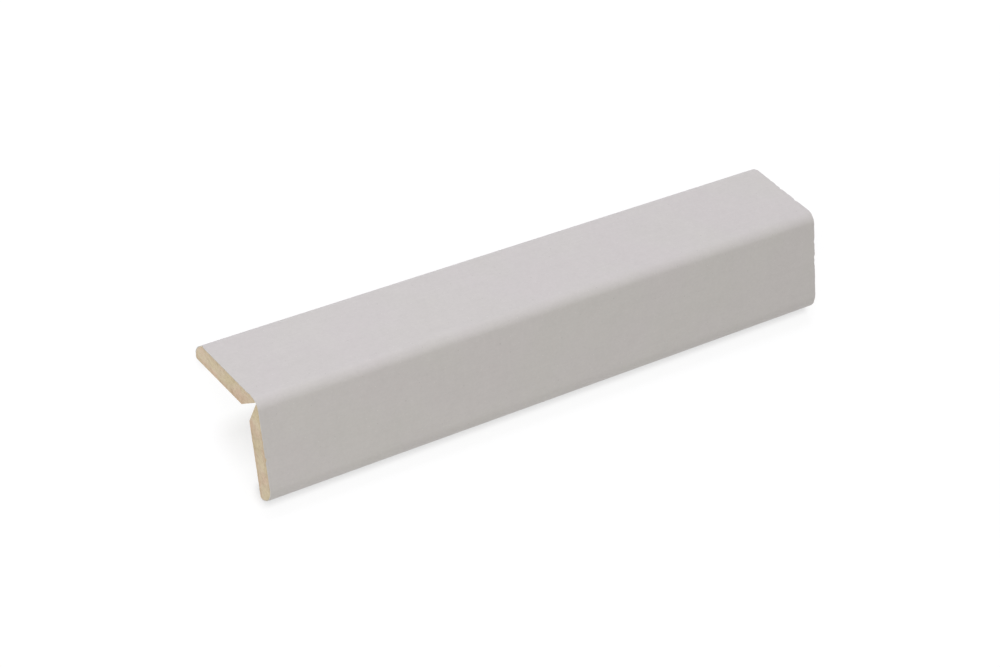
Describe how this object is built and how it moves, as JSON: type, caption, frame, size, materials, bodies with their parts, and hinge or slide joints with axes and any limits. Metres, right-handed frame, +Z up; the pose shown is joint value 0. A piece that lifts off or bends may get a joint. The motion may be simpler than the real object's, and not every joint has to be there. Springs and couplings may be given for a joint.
{
  "type": "flexible mdf trim",
  "caption": "Folding MDF corner trim: equal legs with a rounded ridge and free edges, joined only by the decor foil over an open V groove.",
  "frame": {"origin": "on the floor under the middle of the ridge, with the trim standing like a tent on its free edges", "axes": "+X along the trim, +Y towards the back leg's free edge, +Z up through the ridge"},
  "size_m": [0.154, 0.0366, 0.0179],
  "materials": {
    "mdf": "sawn and milled fibreboard",
    "foil": "matte"
  },
  "bodies": {
    "back_leg": {"back_strip": "mdf", "foil_wrap": "foil"},
    "front_leg": {"front_strip": "mdf"}
  },
  "joints": [
    {"name": "ridge_fold", "type": "hinge", "parent": "back_leg", "child": "front_leg", "pos_m": [0, 0, 0.01782], "axis": [-1, 0, 0], "range_deg": [-24, 75], "deforming": ["foil_wrap"]}
  ]
}
